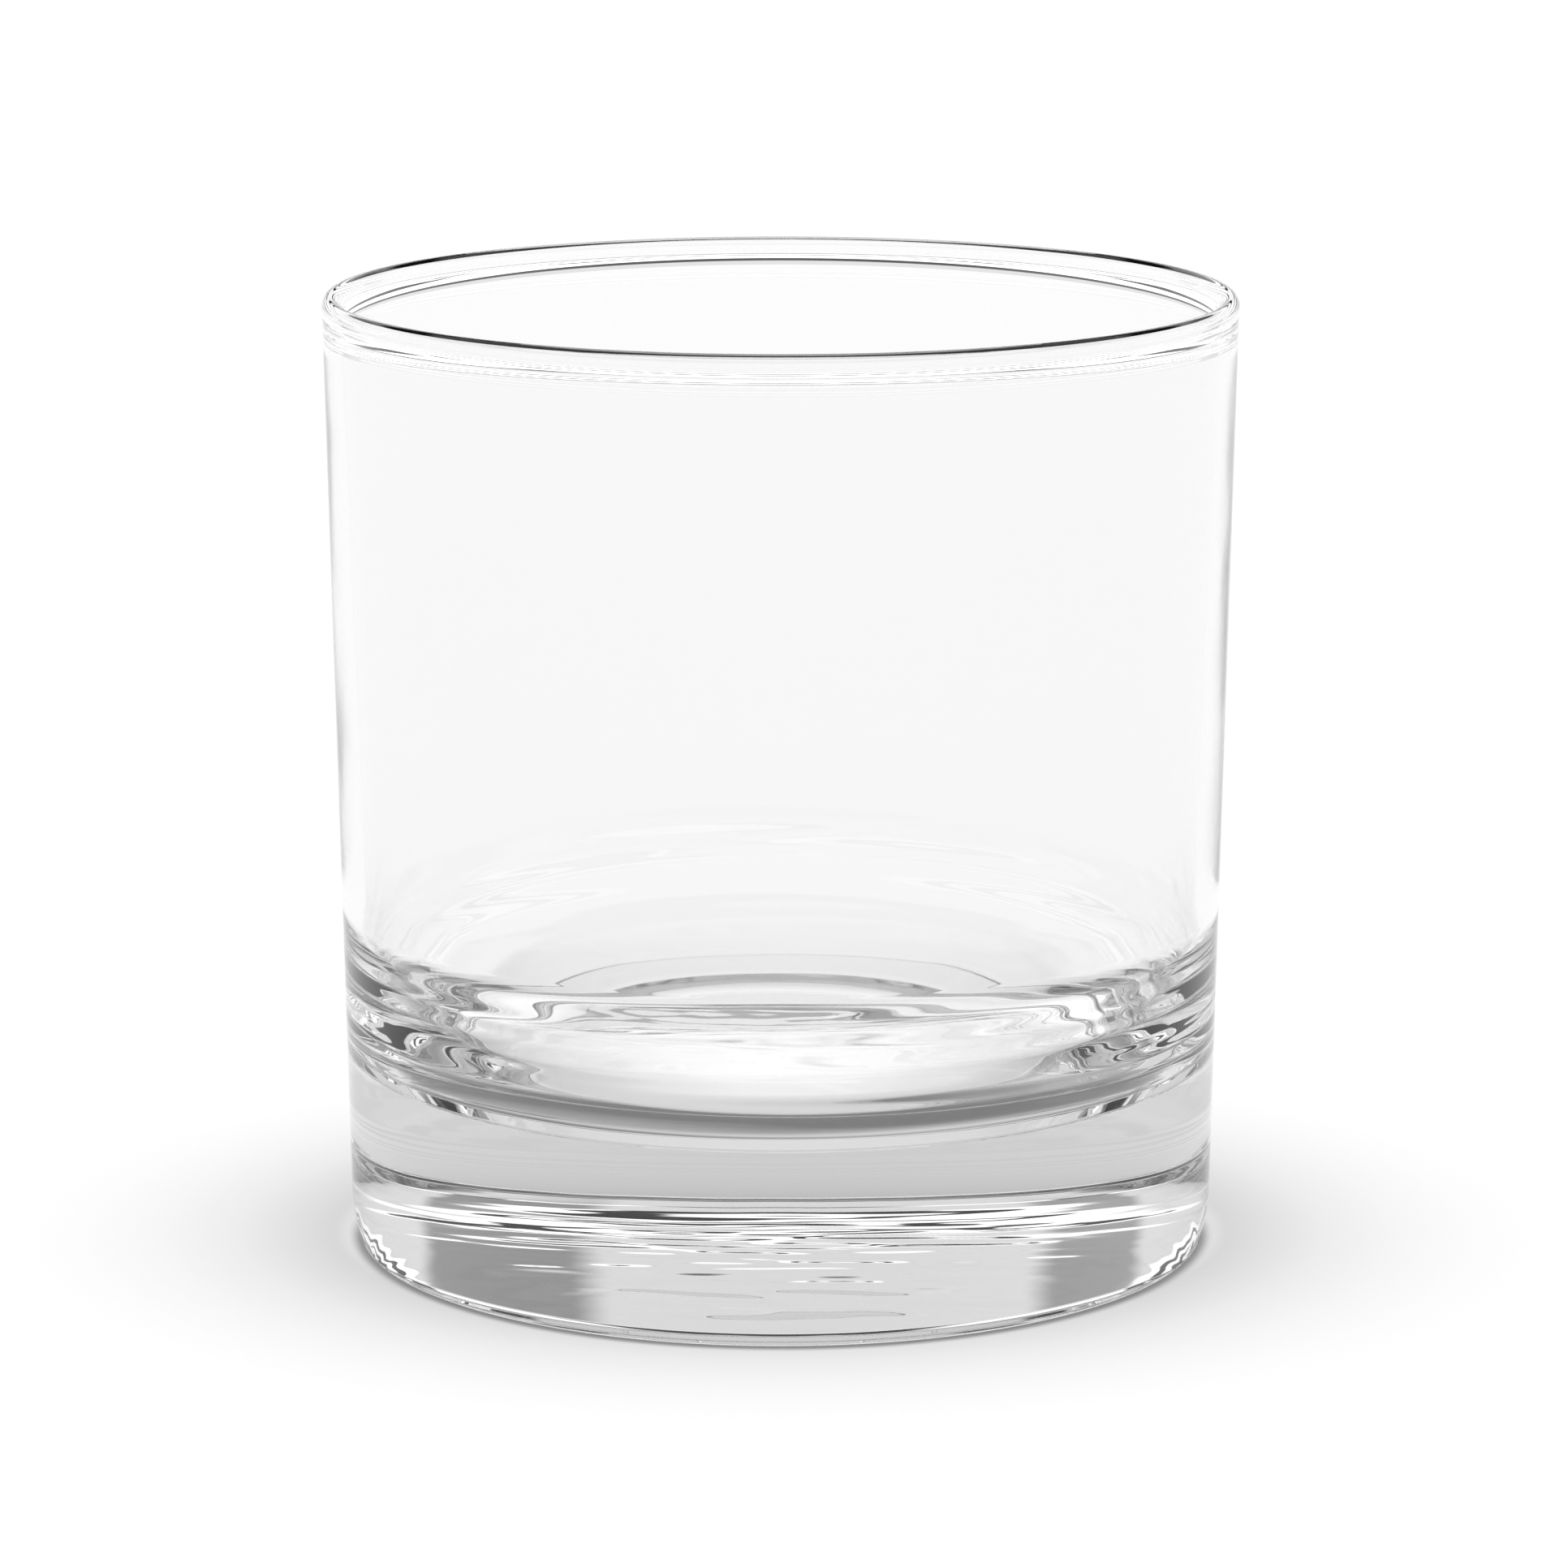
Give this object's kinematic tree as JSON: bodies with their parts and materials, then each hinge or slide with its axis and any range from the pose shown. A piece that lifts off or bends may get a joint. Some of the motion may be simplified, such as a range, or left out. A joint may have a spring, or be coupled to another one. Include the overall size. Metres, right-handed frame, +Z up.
{
  "type": "whiskey tumbler",
  "caption": "Clear glass tumbler with a gently tapered round wall, a rounded rim bead, a heavy solid base and a shallow recess under its foot ring.",
  "frame": {"origin": "centre of the circle on which the foot rests, at the lowest level of the glass", "axes": "+Z up the axis of revolution, towards the open rim"},
  "size_m": [0.0806, 0.0806, 0.085],
  "materials": {
    "clear_glass": "clear, fire-polished, smooth"
  },
  "bodies": {
    "root": {"tumbler_glass": "clear_glass"}
  },
  "joints": []
}
